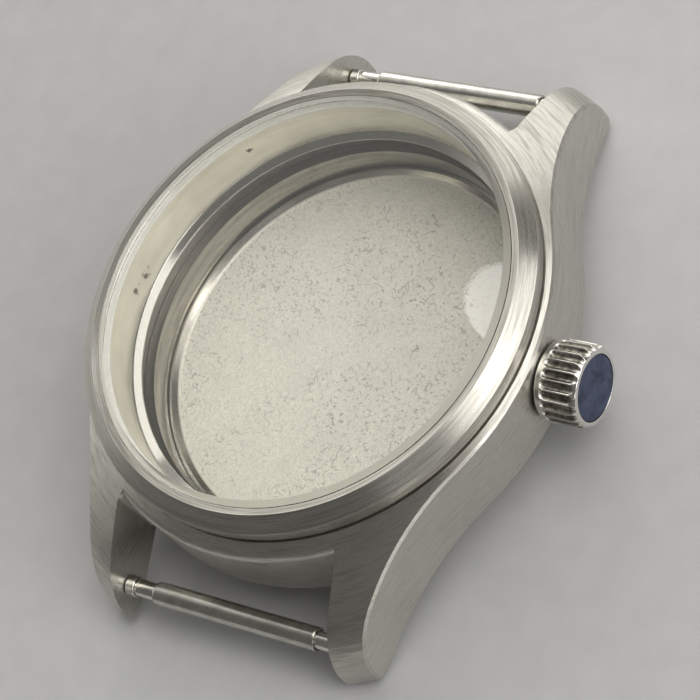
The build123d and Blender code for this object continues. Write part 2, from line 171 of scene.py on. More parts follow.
lamps = [make_lamp(name, *plan) for name, plan in lamp_plan.items()]
print("lamps", {lamp.name: round(lamp.data.energy, 3) for lamp in lamps})


# %% [markdown]
# Every finish below is a small tree of nodes, and so is the glow of the room. A
# few short helpers keep each tree readable: one adds a node and fills its
# inputs in order, the others are the node kinds that are used most. The trees
# could be drawn by hand in the shader editor, but a text can be compared.

# %% Node helpers
def put(tree, kind, inputs=(), **settings):
    """Adds a node, sets its settings, and joins or fills its inputs in order or by name."""
    made = tree.nodes.new(kind)
    for name, value in settings.items():
        setattr(made, name, value)
    places = inputs.items() if isinstance(inputs, dict) else enumerate(inputs)
    for place, value in places:
        if isinstance(value, bpy.types.NodeSocket):
            tree.links.new(value, made.inputs[place])
        elif value is not None:
            made.inputs[place].default_value = value
    return made


def maths(tree, operation, *values):
    """One step of arithmetic on sockets or numbers."""
    return put(tree, "ShaderNodeMath", values, operation=operation).outputs[0]


def vector_maths(tree, operation, *values):
    """The outputs of one step of arithmetic on vectors."""
    return put(tree, "ShaderNodeVectorMath", values, operation=operation).outputs


def axes_of(tree, vector):
    """The three parts of a vector."""
    return put(tree, "ShaderNodeSeparateXYZ", (vector,)).outputs


def vector_of(tree, *parts):
    """A vector put together from its three parts."""
    return put(tree, "ShaderNodeCombineXYZ", parts).outputs[0]


def own_place(tree):
    """The point's place on its own piece, in metres."""
    return put(tree, "ShaderNodeTexCoord").outputs["Object"]


def length_of(tree, first, second):
    """The root of first * first + second * second."""
    squares = [maths(tree, "MULTIPLY", part, part) for part in (first, second)]
    return maths(tree, "SQRT", maths(tree, "ADD", *squares))


def radius_of(tree, place):
    """Distance from the Z axis."""
    x, y, z = axes_of(tree, place)
    return length_of(tree, x, y)


# %% [markdown]
# The next helpers make patterns. A pattern is a soft grain whose middle values
# are spread over a wider range. It then mixes two colours, or says how rough
# the steel is, or raises it a little. Painted pictures would do this too, but
# a pattern worked out from the point's place has no seams and no pixels.

# %% Pattern helpers
falling = (1.0, 0.0)


def spread(tree, value, low, high, to_low=0.0, to_high=1.0, smooth=False):
    """Carries the range low to high over to another range, and holds it there."""
    kind = "SMOOTHSTEP" if smooth else "LINEAR"
    inputs = (value, low, high, to_low, to_high)
    return put(tree, "ShaderNodeMapRange", inputs, interpolation_type=kind).outputs[0]


def grain(tree, vector, scale=1.0, detail=2.0, distortion=0.0, roughness=0.5):
    """Soft random grain, about one blotch for each unit of the vector times scale."""
    inputs = {
        "Vector": vector, "Scale": scale, "Detail": detail, "Roughness": roughness, "Distortion": distortion,
    }
    return put(tree, "ShaderNodeTexNoise", inputs).outputs["Fac"]


def weighed(tree, patterns, shares):
    """The sum of two patterns, each times its share."""
    parts = [maths(tree, "MULTIPLY", pattern, share) for pattern, share in zip(patterns, shares)]
    return maths(tree, "ADD", *parts)


def tint(tree, share, first, second):
    """A colour between two, which are sockets or triples."""
    colours = [value if isinstance(value, bpy.types.NodeSocket) else (*value, 1) for value in (first, second)]
    mixed = put(tree, "ShaderNodeMix", {"Factor": share}, data_type="RGBA")
    for place, colour in zip((6, 7), colours):
        if isinstance(colour, tuple):
            mixed.inputs[place].default_value = colour
        else:
            tree.links.new(colour, mixed.inputs[place])
    return mixed.outputs[2]


# %% [markdown]
# The last helpers start a finish, join patterns to it and put it on a piece.

# %% Finish helpers
def start_finish(name, colour, roughness, metallic=1.0):
    """A new material with its plain values on the shader's own sockets."""
    finish = bpy.data.materials.new(name)
    finish.use_nodes = True
    tree = finish.node_tree
    shader = tree.nodes["Principled BSDF"]
    shader.inputs["Base Color"].default_value = (*colour, 1)
    shader.inputs["Metallic"].default_value = metallic
    shader.inputs["Roughness"].default_value = roughness
    return finish, tree, shader


def wire(tree, value, shader, place):
    """Joins a pattern to one of the shader's inputs."""
    tree.links.new(value, shader.inputs[place])


def relief(tree, shader, height, depth):
    """Raises or sinks the surface a little by a height of 0 to 1 times a depth in metres."""
    bump = put(tree, "ShaderNodeBump", {"Strength": 1.0, "Distance": depth, "Height": height})
    wire(tree, bump.outputs[0], shader, "Normal")


def wear(piece, finish):
    """Gives a piece one finish in place of any other."""
    piece.data.materials.clear()
    piece.data.materials.append(finish)
    print(piece.name, "wears", finish.name)


def dress(node_name, finish):
    """Gives a frame node one finish in place of its own."""
    wear(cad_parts[node_name], finish)


# %% [markdown]
# The room itself glows faintly. It is lighter on the far left, where the walls
# are, and dark on the photographer's side: steel that faces that side goes deep
# grey, which gives the lugs their shape. A panorama of a real room would do the
# same, but a plain gradient lets each band on the steel be placed.

# %% Room glow
room_dark = (0.14, 0.137, 0.13)
room_light = (1.15, 1.13, 1.08)
light_side = (-0.86, 0.45, 0.24)
glow_cosines = (0.60, 0.97)


def make_room():
    """A world whose light grows towards the far left."""
    world = bpy.data.worlds.new("studio")
    world.use_nodes = True
    tree = world.node_tree
    way = put(tree, "ShaderNodeTexCoord").outputs["Generated"]
    turned = vector_maths(tree, "DOT_PRODUCT", way, light_side)["Value"]
    far = spread(tree, turned, *glow_cosines, smooth=True)
    background = tree.nodes["Background"]
    wire(tree, tint(tree, far, room_dark, room_light), background, "Color")
    background.inputs["Strength"].default_value = 1.0
    bpy.context.scene.world = world
    return world


world = make_room()
bpy.context.scene.view_settings.view_transform = "Standard"
print("world", world.name)


# %% [markdown]
# Nearly everything in a watch case comes off a lathe, so one tool makes most
# pieces: a profile of radius and height that is turned about an axis. Real
# edges are never knife sharp, and a small round on each corner is what catches
# the light. Each corner is given as radius, height and round, in millimetres,
# in a loop that keeps the steel on its left. A bevel modifier rounds edges too,
# but here each corner has the round that its own tool would leave.

# %% Rounded profiles
corner_steps = 6
longest_round_share = 0.45
tiny = 1e-9


def round_corner(before, corner, after, rounding):
    """Points and outward normals along the arc that rounds off one corner of a profile.

    The arc's radius is the rounding, less where a neighbouring side is too short.
    It starts rounding * tan(turn / 2) before the corner, and its normals swing
    evenly from the one side's to the other's.
    """
    incoming, outgoing = corner - before, after - corner
    length_in, length_out = np.linalg.norm(incoming), np.linalg.norm(outgoing)
    incoming, outgoing = incoming / length_in, outgoing / length_out
    turn = math.atan2(incoming[0] * outgoing[1] - incoming[1] * outgoing[0], incoming @ outgoing)
    slack = math.tan(abs(turn) / 2)
    rounding = min(rounding, longest_round_share * min(length_in, length_out) / max(slack, tiny))
    sign = math.copysign(1.0, turn)
    first = np.array([incoming[1], -incoming[0]])
    centre = corner - incoming * rounding * slack - sign * first * rounding
    angles = np.linspace(0.0, turn, corner_steps)[:, None]
    side = np.array([-first[1], first[0]])
    normals = first * np.cos(angles) + side * np.sin(angles)
    return centre + sign * rounding * normals, normals


def rounded_profile(corners_mm, closed=True):
    """Rounds every corner of a loop, or of a line that runs from axis to axis."""
    corners = np.array([corner[:2] for corner in corners_mm]) * mm
    roundings = [corner[2] * mm for corner in corners_mm]
    count = len(corners)
    inner = range(count) if closed else range(1, count - 1)
    parts = [round_corner(corners[i - 1], corners[i], corners[(i + 1) % count], roundings[i]) for i in inner]
    points = np.concatenate([part[0] for part in parts])
    normals = np.concatenate([part[1] for part in parts])
    if not closed:
        points = np.concatenate([corners[:1], points, corners[-1:]])
        normals = np.concatenate([normals[:1] * [0, 1], normals, normals[-1:] * [0, 1]])
    return points, normals


square_mm = [(1, 0, 0.1), (2, 0, 0.1), (2, 1, 0.1), (1, 1, 0.1)]
print("points in a rounded square", len(rounded_profile(square_mm)[0]))


# %% [markdown]
# The profile becomes a mesh by turning it in even steps. A ring is a grid that
# closes both ways. A disc runs from axis to axis, and there one point closes
# the fan at each pole.

# %% Grid and poles
def grid_faces(rows, steps, closed):
    """Quads between neighbouring rows of a turned grid, facing outwards."""
    row = np.arange(rows if closed else rows - 1)[:, None]
    step = np.arange(steps)[None, :]
    next_row, next_step = (row + 1) % rows, (step + 1) % steps
    here, there = row * steps, next_row * steps
    quads = [here + step, here + next_step, there + next_step, there + step]
    return np.stack(quads, axis=-1).reshape(-1, 4)


def fan_faces(pole, row_start, steps, outwards):
    """Triangles from a pole to a row of the grid."""
    step = np.arange(steps)
    here, there = row_start + step, row_start + (step + 1) % steps
    order = [np.full(steps, pole), there, here] if outwards else [np.full(steps, pole), here, there]
    return np.stack(order, axis=-1)


def close_poles(points, normals, faces, ends, steps):
    """Adds a point on the axis at each end of an open grid, and a fan of triangles about it."""
    last = len(points) - steps
    points = np.concatenate([points, [[0, 0, ends[0]], [0, 0, ends[1]]]])
    normals = np.concatenate([normals, [[0, 0, -1], [0, 0, 1]]])
    top = len(points) - 1
    faces += [tuple(face) for face in fan_faces(top - 1, 0, steps, True)]
    faces += [tuple(face) for face in fan_faces(top, last, steps, False)]
    return points, normals, faces


# %% [markdown]
# The grid's points come from one formula, and so do its normals, so that the
# surface shades as a true turned form and not as facets. Crown and bars lie
# along X: they are turned about Z and then laid over. The screw modifier turns
# a profile as well, but it leaves the normals to be guessed from the faces.

# %% Turned pieces
turn_steps = 360


def about_z(radii, heights, angles):
    """Radius and height turned about Z: x is radius times cosine, y radius times sine."""
    return np.stack([radii * np.cos(angles), radii * np.sin(angles), heights + 0 * angles], axis=-1)


def about_x(points, offset, height):
    """Lays a form that was turned about Z along X, by passing each axis on to the next."""
    return points[..., [2, 0, 1]] + np.array([0.0, offset, height])


def finish_mesh(name, points, normals, faces):
    """Puts grid, poles and exact normals into a mesh object."""
    piece = link_mesh(name, points, faces)
    lengths = np.linalg.norm(normals, axis=1, keepdims=True)
    piece.data.normals_split_custom_set_from_vertices((normals / lengths).tolist())
    return piece


def turned_piece(name, corners_mm, closed=True, along_x=None, steps=turn_steps):
    """A profile turned about Z, or about the X axis through along_x, an offset and a height."""
    profile, slopes = rounded_profile(corners_mm, closed)
    ends = profile[0][1], profile[-1][1]
    if not closed:
        profile, slopes = profile[1:-1], slopes[1:-1]
    angles = np.linspace(0, 2 * math.pi, steps, endpoint=False)[None, :]
    points = about_z(profile[:, :1], profile[:, 1:], angles).reshape(-1, 3)
    normals = about_z(slopes[:, :1], slopes[:, 1:], angles).reshape(-1, 3)
    faces = [tuple(face) for face in grid_faces(len(profile), steps, closed)]
    if not closed:
        points, normals, faces = close_poles(points, normals, faces, ends, steps)
    if along_x is not None:
        points, normals = about_x(points, *along_x), about_x(normals, 0, 0)
    return finish_mesh(name, points, normals, faces)


def fit_piece(piece, body, node):
    """Lets a piece ride on its body and stand for its frame node."""
    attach(piece, body)
    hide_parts(node)
    print(piece.name, len(piece.data.polygons), "faces")
    return piece


# %% [markdown]
# The bezel is a ring with a brushed cone outside and a narrow polished bevel
# inside. Its foot is narrower than its ridge, so that a dark seam shows where
# it meets the case. All of that is in one profile, as one tool would cut it.

# %% Bezel
bezel_neck_mm, bezel_foot_mm, bezel_bore_mm = 17.88, 18.22, 17.27
bezel_low_mm, seam_top_mm, ledge_mm, lip_low_mm = 9.28, 9.56, 10.07, 11.43
bezel_corners_mm = [
    (bezel_neck_mm, bezel_low_mm, 0.05), (bezel_foot_mm, bezel_low_mm, 0.03),
    (bezel_foot_mm, seam_top_mm, 0.05), (18.62, seam_top_mm, 0.06),
    (18.715, 10.78, 0.09), (17.55, 11.70, 0.05), (17.01, 11.645, 0.03), (16.99, lip_low_mm, 0.04),
    (bezel_bore_mm, lip_low_mm, 0.03), (bezel_bore_mm, ledge_mm, 0.03), (bezel_neck_mm, ledge_mm, 0.03),
]
bezel = fit_piece(turned_piece("bezel_ring", bezel_corners_mm), "root", "bezel")


# %% [markdown]
# The crystal is a flat glass whose top edge is ground to a slim bevel. The
# bevel bends the light, which is why a second bright ring shows inside the
# bezel. A nylon ring of L section grips it. Glass needs both its faces, since
# light is bent on its way in and out, so it is a closed solid and not a sheet.

# %% Crystal and its gasket
glass_mm, glass_low_mm, glass_top_mm = 16.97, 10.29, 11.87
crystal_corners_mm = [
    (0, glass_low_mm, 0), (glass_mm, glass_low_mm, 0.06), (glass_mm, 11.67, 0.04),
    (16.47, glass_top_mm, 0.05), (0, glass_top_mm, 0),
]
grip_mm, grip_foot_mm, grip_outside_mm = 16.99, 16.43, 17.25
grip_floor_mm, grip_top_mm = 10.27, 11.41
gasket_corners_mm = [
    (grip_foot_mm, ledge_mm, 0.03), (grip_outside_mm, ledge_mm, 0.04), (grip_outside_mm, grip_top_mm, 0.04),
    (grip_mm, grip_top_mm, 0.04), (grip_mm, grip_floor_mm, 0.02), (grip_foot_mm, grip_floor_mm, 0.06),
]
crystal = turned_piece("crystal_glass_disc", crystal_corners_mm, closed=False)
crystal = fit_piece(crystal, "root", "crystal")
gasket = turned_piece("crystal_gasket_ring", gasket_corners_mm)
gasket = fit_piece(gasket, "root", "crystal_gasket")


# %% [markdown]
# Below the glass stands the tall ring that hides the movement's edge. Its wall
# is satin turned, and its thin lip at the foot rests on the dial. The lip's
# nose is round and catches a fine bright line above the dark gap.

# %% Rehaut ring
lip_mm, ring_mm, wall_mm = 15.88, 17.08, 16.53
ring_low_mm, ring_top_mm = 6.08, 10.05
rehaut_corners_mm = [
    (lip_mm, ring_low_mm, 0.05), (ring_mm, ring_low_mm, 0.04), (ring_mm, ring_top_mm, 0.06),
    (wall_mm, ring_top_mm, 0.08), (wall_mm, 6.47, 0.12), (lip_mm, 6.22, 0.06),
]
rehaut = fit_piece(turned_piece("rehaut_wall", rehaut_corners_mm), "root", "rehaut_ring")


# %% [markdown]
# The crown starts as a turned shell as well. Its profile runs from the bottom
# of its threaded pipe round the hollow for the seals and over the rim to the
# seat of the inlay. Then 24 round-bottomed grooves are cut along it, which
# leaves narrow lands for the fingertips.

# %% Crown's sizes
pipe_bore_mm, pipe_mm, hollow_mm, collar_mm = 0.45, 0.8, 1.95, 2.90
pipe_end_mm, collar_end_mm, hollow_end_mm, face_mm = 19.3, 19.32, 22.0, 22.40
crown_corners_mm = [
    (0, hollow_end_mm, 0), (pipe_bore_mm, hollow_end_mm, 0.02), (pipe_bore_mm, pipe_end_mm, 0.03),
    (pipe_mm, pipe_end_mm, 0.04), (pipe_mm, hollow_end_mm, 0.03), (hollow_mm, hollow_end_mm, 0.06),
    (hollow_mm, collar_end_mm, 0.05), (collar_mm, collar_end_mm, 0.09), (collar_mm, 19.80, 0.05),
    (3.06, 19.82, 0.07), (3.08, 22.14, 0.16), (2.80, 22.72, 0.09), (2.50, 22.75, 0.03),
    (2.46, face_mm, 0.03), (0, face_mm, 0),
]
flute_count = 24
steps_per_flute = 16
crown_steps = flute_count * steps_per_flute
crown_row_mm = 0.05
flute_radius_mm = 0.36
flute_centre_mm = 3.16
flute_start_mm = 20.18
fluted_radius_mm, fluted_place_mm = 2.6, 19.83
land_softness_mm = 0.014
print("steps round the crown", crown_steps)


# %% [markdown]
# In numbers, the outer radius at each angle is the smaller of the shell's and
# the groove's, and a soft minimum rounds the land's edges as polishing does.
# Boolean cuts would make the grooves too, but with ragged edges at this size.

# %% Crown's shell
def fill_rows(points, widest):
    """Adds rows to a profile so that no two stand further apart than widest."""
    gaps = np.linalg.norm(np.diff(points, axis=0), axis=1)
    places = np.concatenate([[0], np.cumsum(gaps)])
    counts = [1 + max(1, math.ceil(gap / widest)) for gap in gaps]
    pieces = [np.linspace(places[i], places[i + 1], count)[:-1] for i, count in enumerate(counts)]
    wanted = np.unique(np.concatenate([*pieces, places[-1:]]))
    radii = np.interp(wanted, places, points[:, 0])
    heights = np.interp(wanted, places, points[:, 1])
    return np.stack([radii, heights], axis=-1), wanted


def fluted(radii, places, angles):
    """The smaller of the shell's radius and the grooves', in metres, with a soft passage.

    A groove's radius is the far side of a circle of the cutter's size about a
    point off the shell. Near its start the cutter's ball end makes it smaller.
    The soft minimum is lower - soft * log(1 + exp(-gap / soft)).
    """
    pitch = 2 * math.pi / flute_count
    off = (angles + pitch / 2) % pitch - pitch / 2
    cutter, centre = flute_radius_mm * mm, flute_centre_mm * mm
    short = np.clip(flute_start_mm * mm - places, 0, cutter)
    reach = np.sqrt(np.clip(cutter ** 2 - short ** 2, 0, None))
    across = centre * np.sin(off)
    depth = np.sqrt(np.clip(reach ** 2 - across ** 2, 0, None))
    groove = centre * np.cos(off) - depth
    groove = np.where(reach > np.abs(across), groove, centre * np.cos(off))
    soft = land_softness_mm * mm
    lower, gap = np.minimum(radii, groove), np.abs(radii - groove)
    return lower - soft * np.log1p(np.exp(-gap / soft))


def make_crown_shell():
    """The fluted shell: rows along the profile, steps round the axis, one point at each pole."""
    profile, _ = rounded_profile(crown_corners_mm, closed=False)
    ends = profile[0][1], profile[-1][1]
    rows, run = fill_rows(profile[1:-1], crown_row_mm * mm)
    angles = np.linspace(0, 2 * math.pi, crown_steps, endpoint=False)[None, :]
    radii, places = rows[:, :1] + 0 * angles, rows[:, 1:] + 0 * angles
    outside = (radii > fluted_radius_mm * mm) & (places > fluted_place_mm * mm)
    radii = np.where(outside, fluted(radii, places, angles), radii)
    grid = about_z(radii, places, angles)
    round_way = np.roll(grid, -1, axis=1) - np.roll(grid, 1, axis=1)
    along = np.gradient(grid, run, axis=0)
    normals = np.cross(round_way, along).reshape(-1, 3)
    faces = [tuple(face) for face in grid_faces(len(rows), crown_steps, False)]
    points, normals, faces = close_poles(grid.reshape(-1, 3), normals, faces, ends, crown_steps)
    return finish_mesh("crown_shell", about_x(points, 0, crown_height), about_x(normals, 0, 0), faces)


crown = fit_piece(make_crown_shell(), "crown", "crown")


# %% [markdown]
# A disc of coloured steel is set into the crown's face, a hair below the rim.
# Two rubber rings inside the crown run on the tube and keep water out. Their
# round section is a polygon whose corners are rounded till they meet, so the
# same tool makes them and no torus is needed.

# %% Crown's inlay and seals
inlay_mm = 2.44
inlay_corners_mm = [(0, face_mm, 0), (inlay_mm, face_mm, 0.03), (inlay_mm, 22.70, 0.05), (0, 22.705, 0)]
seal_radius_mm = 0.29
seal_ring_mm = 1.6
seal_sides = 12
seal_places_mm = {"crown_gasket_outer": 19.88, "crown_gasket_inner": 20.50}


def seal_corners(place_mm):
    """Corners on a circle, which the rounding turns into a round section."""
    angles = np.linspace(0, 2 * math.pi, seal_sides, endpoint=False)
    reach = seal_radius_mm / math.cos(math.pi / seal_sides)
    circle = [(reach * math.cos(angle), reach * math.sin(angle)) for angle in angles]
    return [(seal_ring_mm + out, place_mm + along, seal_radius_mm) for out, along in circle]


on_crown_axis = (0.0, crown_height)
inlay = turned_piece("crown_inlay_disc", inlay_corners_mm, closed=False, along_x=on_crown_axis)
fit_piece(inlay, "crown", "crown_disc")
for node, place_mm in seal_places_mm.items():
    seal = turned_piece(node + "_ring", seal_corners(place_mm), along_x=on_crown_axis)
    fit_piece(seal, "crown_seals", node)


# %% [markdown]
# A strap bar is a thin tube with a sprung tip in each end. The tube's ends are
# rolled in over the tips. Each tip is turned from one rod: a pivot that sits in
# the lug, a flange to push back with a tool, a narrow groove and the plunger.
# Both tips share one outline, and the left one has the longer flange.

# %% Strap bars
bar_steps = 72
tube_mm, tube_mouth_mm, tube_bore_mm = 0.9, 0.84, 0.72
tube_left_mm, tube_right_mm = -7.2, 7.7
barrel_corners_mm = [
    (tube_bore_mm, tube_left_mm, 0.03), (tube_mouth_mm, tube_left_mm, 0.05), (tube_mm, -7.06, 0.08),
    (tube_mm, 7.56, 0.08), (tube_mouth_mm, tube_right_mm, 0.05), (tube_bore_mm, tube_right_mm, 0.03),
]
pivot_mm, flange_mm, groove_mm, plunger_mm = 0.45, 0.8, 0.55, 0.69
pivot_end_mm, flange_start_mm, groove_length_mm = 10.75, 9.92, 0.15
tip_rounds_mm = (0, 0.08, 0.03, 0.12, 0.12, 0.03, 0.03, 0.06, 0.05, 0)
left_flange_mm, left_end_mm = 0.8, 3.8
right_flange_mm, right_end_mm = 0.45, 4.3


def tip_corners(flange_length_mm, end_mm, heading):
    """A tip's corners from low X to high X. Heading is -1 for the left tip, 1 for the right."""
    flange_end_mm = flange_start_mm - flange_length_mm
    groove_end_mm = flange_end_mm - groove_length_mm
    outline = [
        (0, pivot_end_mm), (pivot_mm, pivot_end_mm), (pivot_mm, flange_start_mm),
        (flange_mm, flange_start_mm), (flange_mm, flange_end_mm), (groove_mm, flange_end_mm),
        (groove_mm, groove_end_mm), (plunger_mm, groove_end_mm), (plunger_mm, end_mm), (0, end_mm),
    ]
    pairs = zip(outline, tip_rounds_mm)
    corners = [(radius, heading * place, rounding) for (radius, place), rounding in pairs]
    return corners[::-heading]


left_corners_mm = tip_corners(left_flange_mm, left_end_mm, -1)
right_corners_mm = tip_corners(right_flange_mm, right_end_mm, 1)
bars = {}
for name, side in (("bar_12", 1), ("bar_6", -1)):
    axis = (side * bar_offset, bar_height)
    barrel = turned_piece(name + "_tube", barrel_corners_mm, along_x=axis, steps=bar_steps)
    bars[name + "_barrel"] = fit_piece(barrel, name + "_barrel", name + "_barrel")
    left = turned_piece(name + "_left_pin", left_corners_mm, closed=False, along_x=axis, steps=bar_steps)
    bars[name + "_left"] = fit_piece(left, name + "_left_tip", name + "_left_tip")
    right = turned_piece(name + "_right_pin", right_corners_mm, closed=False, along_x=axis, steps=bar_steps)
    bars[name + "_right"] = fit_piece(right, name + "_right_tip", name + "_right_tip")


# %% [markdown]
# Brushed steel is made of countless parallel scratches. Near to, they show as
# streaks; further off they only smear the reflection across their own
# direction. The finish does both: a bump and a colour from grain that is drawn
# out along the scratches, and an uneven gloss that is wide across them. Real
# grooves in the mesh would need millions of faces.

# %% Scratch directions
height_share = 0.6
least_radius = 1 * mm
fine_streak = (1.0, 3.0, 0.0, 0.65)


def ring_place(tree, place, across, along):
    """Coordinates for scratches that run round Z: fine down a slope, slow round the ring.

    The fine one is (radius - height_share * z) * across, the slow ones x / radius
    and y / radius times along.
    """
    x, y, z = axes_of(tree, place)
    radius = maths(tree, "MAXIMUM", length_of(tree, x, y), least_radius)
    slope = maths(tree, "SUBTRACT", radius, maths(tree, "MULTIPLY", z, height_share))
    turned = [maths(tree, "MULTIPLY", maths(tree, "DIVIDE", part, radius), along) for part in (x, y)]
    return vector_of(tree, maths(tree, "MULTIPLY", slope, across), *turned)


def flank_place(tree, place, across, along):
    """Coordinates for scratches that run level along the flanks: fine in height, slow in plan."""
    x, y, z = axes_of(tree, place)
    parts = [maths(tree, "MULTIPLY", part, scale) for part, scale in ((z, across), (x, along), (y, along))]
    return vector_of(tree, *parts)


def radial_way(tree, place):
    """The direction away from the Z axis, across scratches that run round it."""
    x, y, z = axes_of(tree, place)
    return vector_maths(tree, "NORMALIZE", vector_of(tree, x, y, 0.0))[0]


def faces_up(tree):
    """How far the surface faces up, from -1 to 1."""
    return axes_of(tree, put(tree, "ShaderNodeNewGeometry").outputs["Normal"])[2]


def streaks(tree, fine_place, broad_place):
    """Fine scratches with broader bands among them, both 0 to 1."""
    return grain(tree, fine_place, *fine_streak), grain(tree, broad_place)


# %% [markdown]
# The bezel's cone is brushed round. Its streaks are strong, and the bevel
# inside the cone is polished bright: a mask on the radius tells the two apart.
# Two materials would do that as well, but a mask needs no cut in the mesh.

# %% Bezel finish
steel_tone = (0.60, 0.585, 0.54)
deep_tone = (0.39, 0.375, 0.335)
bevel_edge, bevel_blend = 17.53 * mm, 0.03 * mm
bezel_fine, bezel_broad = (9000, 5), (2600, 1.6)
bezel_shares = (0.5, 0.5)
bezel_tones, brushed_range = (0.40, 0.56), (0.38, 0.62)
bezel_roughness, bezel_gloss, bevel_gloss = 0.3, (0.30, 0.16), 0.08
bezel_smear, bezel_relief = 0.75, 0.016 * mm


def bezel_finish():
    """Round brushing on the cone, polish on the inner bevel."""
    finish, tree, shader = start_finish("round brushed bezel steel", steel_tone, bezel_roughness)
    place = own_place(tree)
    fine, broad = streaks(tree, ring_place(tree, place, *bezel_fine), ring_place(tree, place, *bezel_broad))
    brushed = spread(tree, radius_of(tree, place), bevel_edge - bevel_blend, bevel_edge + bevel_blend)
    both = weighed(tree, (fine, broad), bezel_shares)
    wire(tree, tint(tree, spread(tree, both, *bezel_tones), deep_tone, steel_tone), shader, "Base Color")
    gloss = maths(tree, "MULTIPLY", spread(tree, both, *brushed_range, *bezel_gloss), brushed)
    wire(tree, maths(tree, "ADD", gloss, bevel_gloss), shader, "Roughness")
    shader.inputs["Anisotropic"].default_value = bezel_smear
    wire(tree, radial_way(tree, place), shader, "Tangent")
    relief(tree, shader, maths(tree, "MULTIPLY", broad, brushed), bezel_relief)
    return finish


wear(bezel, bezel_finish())


# %% [markdown]
# The mid-case has two directions of brushing. The turned tops of shoulder and
# lugs are brushed round the case, the flanks along their length, and between
# them runs a narrow bright chamfer. Which way a point faces picks its brushing.
# The bore is painted dark as shade, since little light reaches into it.

# %% Case finish
# painted shade for the bore, which little light reaches
bore_painted_shade = (0.12, 0.11, 0.095)
flank_deep = (0.48, 0.47, 0.43)
top_fine, top_broad = (7500, 10), (2700, 5)
flank_fine, flank_broad = (8500, 420), (3000, 190)
facing_range = (0.22, 0.34)
case_shares = (0.65, 0.35)
bore_shade_range, bore_shade_share = (17.2 * mm, 17.4 * mm), 0.8
case_tones, case_roughness, case_gloss = (0.36, 0.54), 0.33, (0.40, 0.26)
blotch_grain, blotch_gloss = (300, 3.0), (0.35, 0.65, -0.03, 0.03)
case_smear, case_relief = 0.6, 0.005 * mm


def brushing_way(tree, place, up, level):
    """Across the scratches: away from the axis on what faces up, along Z on the flanks."""
    away = vector_maths(tree, "MULTIPLY", radial_way(tree, place), vector_of(tree, up, up, up))[0]
    return vector_maths(tree, "ADD", away, vector_of(tree, 0.0, 0.0, level))[0]


def case_finish():
    """Round brushing on what faces up, lengthwise brushing on the flanks."""
    finish, tree, shader = start_finish("brushed case steel", steel_tone, case_roughness)
    place = own_place(tree)
    tops = streaks(tree, ring_place(tree, place, *top_fine), ring_place(tree, place, *top_broad))
    flanks = streaks(tree, flank_place(tree, place, *flank_fine), flank_place(tree, place, *flank_broad))
    up = spread(tree, faces_up(tree), *facing_range)
    level = maths(tree, "SUBTRACT", 1.0, up)
    fine, broad = [weighed(tree, pair, (up, level)) for pair in zip(tops, flanks)]
    both = weighed(tree, (fine, broad), case_shares)
    metal = tint(tree, spread(tree, both, *case_tones), tint(tree, up, flank_deep, deep_tone), steel_tone)
    # painted shade: everything inside the bore's radius is darkened
    inner = spread(tree, radius_of(tree, place), *bore_shade_range, *falling)
    metal = tint(tree, maths(tree, "MULTIPLY", inner, bore_shade_share), metal, bore_painted_shade)
    wire(tree, metal, shader, "Base Color")
    blotch = spread(tree, grain(tree, place, *blotch_grain), *blotch_gloss)
    gloss = maths(tree, "ADD", spread(tree, both, *brushed_range, *case_gloss), blotch)
    wire(tree, gloss, shader, "Roughness")
    shader.inputs["Anisotropic"].default_value = case_smear
    wire(tree, brushing_way(tree, place, up, level), shader, "Tangent")
    relief(tree, shader, broad, case_relief)
    return finish


dress("mid_case", case_finish())


# %% [markdown]
# The rehaut's wall is satin turned and a little olive from age. Rings run
# round it, with a few dark stains where dirt has dried. The flare at its foot
# is polished, so it turns nearly black or white with what it reflects.

# %% Rehaut finish
wall_tone = (0.90, 0.88, 0.78)
wall_deep = (0.72, 0.70, 0.61)
flare_tone = (0.45, 0.44, 0.40)
flare_top, flare_blend = 6.55 * mm, 0.1 * mm
wall_fine, wall_broad, wall_clouds = (4200, 4), (900, 3), (260, 3.0)
wall_shares = (0.6, 0.4)
even_range = (0.35, 0.65)
wall_roughness, wall_gloss, flare_gloss = 0.38, (0.40, 0.26), 0.1
wall_relief = 0.004 * mm
stain_tone = (0.16, 0.14, 0.11)
stain_places_mm = [(-16.5, 0.1, 7.8), (-16.5, -1.4, 8.3), (-11.6, 11.8, 8.7)]
stain_reach, stain_core_share = 0.42 * mm, 0.5
ragged_grain, ragged_range = (1500, 3.0), (0.3, 0.7, 0.4, 1.9)


def stain_mask(tree, place, spot_mm):
    """A ragged spot about a place: 1 in its middle, 0 outside its reach."""
    spot = [mm * value for value in spot_mm]
    away = vector_maths(tree, "DISTANCE", place, spot)["Value"]
    ragged = maths(tree, "MULTIPLY", away, spread(tree, grain(tree, place, *ragged_grain), *ragged_range))
    return spread(tree, ragged, stain_core_share * stain_reach, stain_reach, *falling)


def rehaut_finish():
    """Satin rings with broad clouds and a few stains, polished at the foot."""
    finish, tree, shader = start_finish("satin rehaut steel", wall_tone, wall_roughness)
    place = own_place(tree)
    fine, broad = streaks(tree, ring_place(tree, place, *wall_fine), ring_place(tree, place, *wall_broad))
    both = weighed(tree, (broad, grain(tree, place, *wall_clouds)), wall_shares)
    metal = tint(tree, spread(tree, both, *even_range), wall_deep, wall_tone)
    for spot_mm in stain_places_mm:
        metal = tint(tree, stain_mask(tree, place, spot_mm), metal, stain_tone)
    satin = spread(tree, axes_of(tree, place)[2], flare_top - flare_blend, flare_top + flare_blend)
    wire(tree, tint(tree, satin, flare_tone, metal), shader, "Base Color")
    gloss = maths(tree, "MULTIPLY", spread(tree, fine, *even_range, *wall_gloss), satin)
    wire(tree, maths(tree, "ADD", gloss, flare_gloss), shader, "Roughness")
    relief(tree, shader, maths(tree, "MULTIPLY", fine, satin), wall_relief)
    return finish


wear(rehaut, rehaut_finish())


